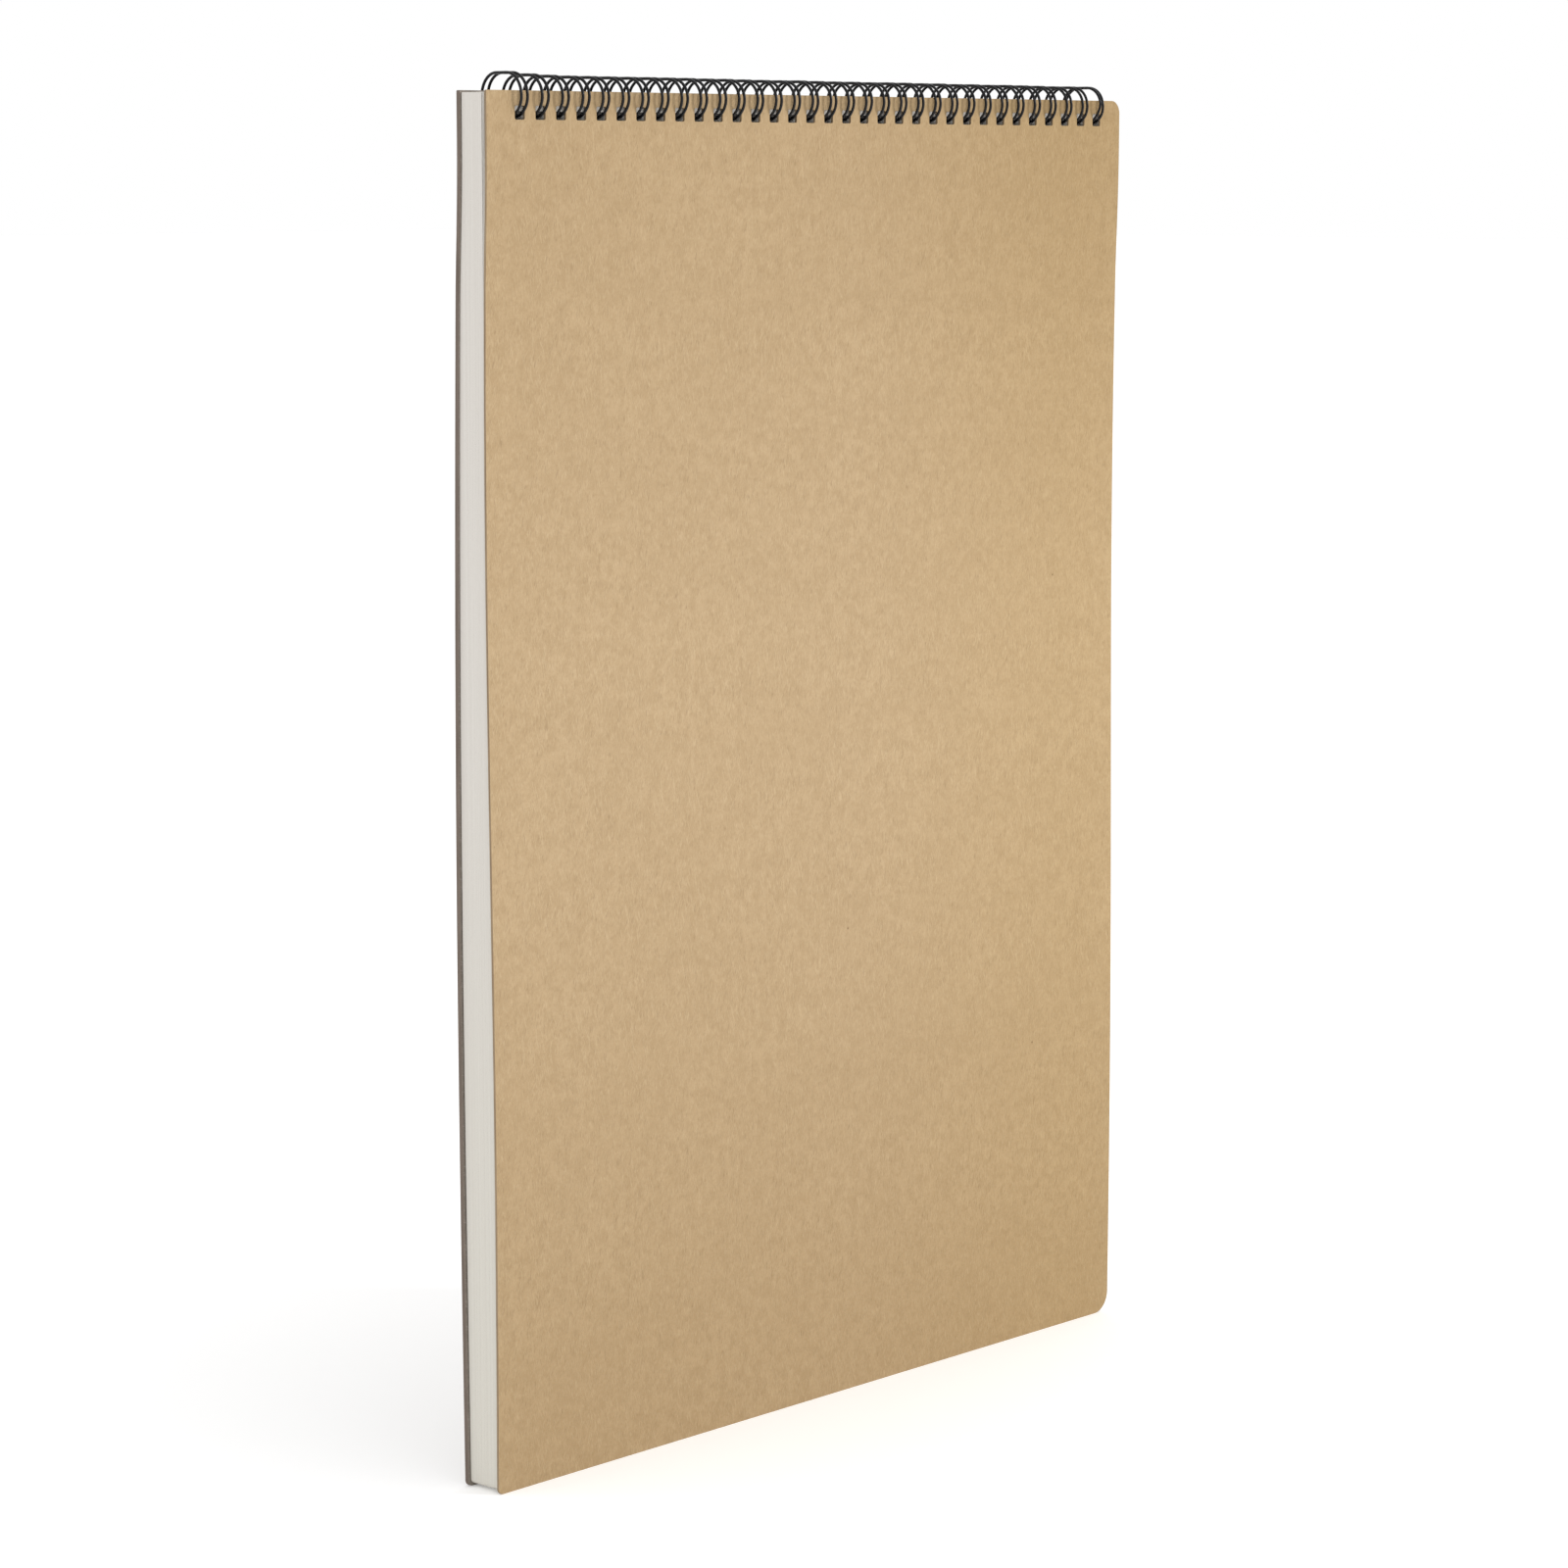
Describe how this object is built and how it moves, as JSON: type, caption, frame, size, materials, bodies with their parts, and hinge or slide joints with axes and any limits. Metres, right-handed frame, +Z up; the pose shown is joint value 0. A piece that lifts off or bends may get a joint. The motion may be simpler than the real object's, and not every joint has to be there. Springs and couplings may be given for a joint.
{
  "type": "sketchbook",
  "caption": "A3 top-bound sketchbook: kraft front cover, grey back board and plain paper sheets on a black twin-loop wire.",
  "frame": {"origin": "middle of the footprint of the closed book held upright, level with its lower edges", "axes": "+Z up the book to the bound edge, +X along the bound edge, -Y out of the front cover"},
  "size_m": [0.297, 0.0174, 0.4249],
  "materials": {
    "kraft_card": "matt, speckled kraft",
    "grey_board": "matt recycled grey board",
    "paper": "matt off-white cartridge paper",
    "black_wire": "black nylon coating, satin"
  },
  "bodies": {
    "book": {"back_cover": "grey_board", "wire_binding": "black_wire", "sheet_bundle_1": "paper", "sheet_bundle_2": "paper", "sheet_bundle_3": "paper", "sheet_bundle_4": "paper", "sheet_bundle_5": "paper", "sheet_bundle_6": "paper"},
    "front_cover": {"front_cover": "kraft_card"},
    "sheet_1": {"sheet_1": "paper"},
    "sheet_2": {"sheet_2": "paper"},
    "sheet_3": {"sheet_3": "paper"}
  },
  "joints": [
    {"name": "front_cover_hinge", "type": "hinge", "parent": "book", "child": "front_cover", "pos_m": [0, -0.0022, 0.4184], "axis": [-1, 0, 0], "range_deg": [0, 135]},
    {"name": "sheet_1_hinge", "type": "hinge", "parent": "book", "child": "sheet_1", "pos_m": [0, -0.0022, 0.4184], "axis": [-1, 0, 0], "range_deg": [0, 108]},
    {"name": "sheet_2_hinge", "type": "hinge", "parent": "book", "child": "sheet_2", "pos_m": [0, -0.0022, 0.4184], "axis": [-1, 0, 0], "range_deg": [0, 81]},
    {"name": "sheet_3_hinge", "type": "hinge", "parent": "book", "child": "sheet_3", "pos_m": [0, -0.0022, 0.4184], "axis": [-1, 0, 0], "range_deg": [0, 54]}
  ],
  "couplings": [
    {"joint": "sheet_1_hinge", "follows": "front_cover_hinge", "ratio": 0.8},
    {"joint": "sheet_2_hinge", "follows": "front_cover_hinge", "ratio": 0.6},
    {"joint": "sheet_3_hinge", "follows": "front_cover_hinge", "ratio": 0.4}
  ]
}
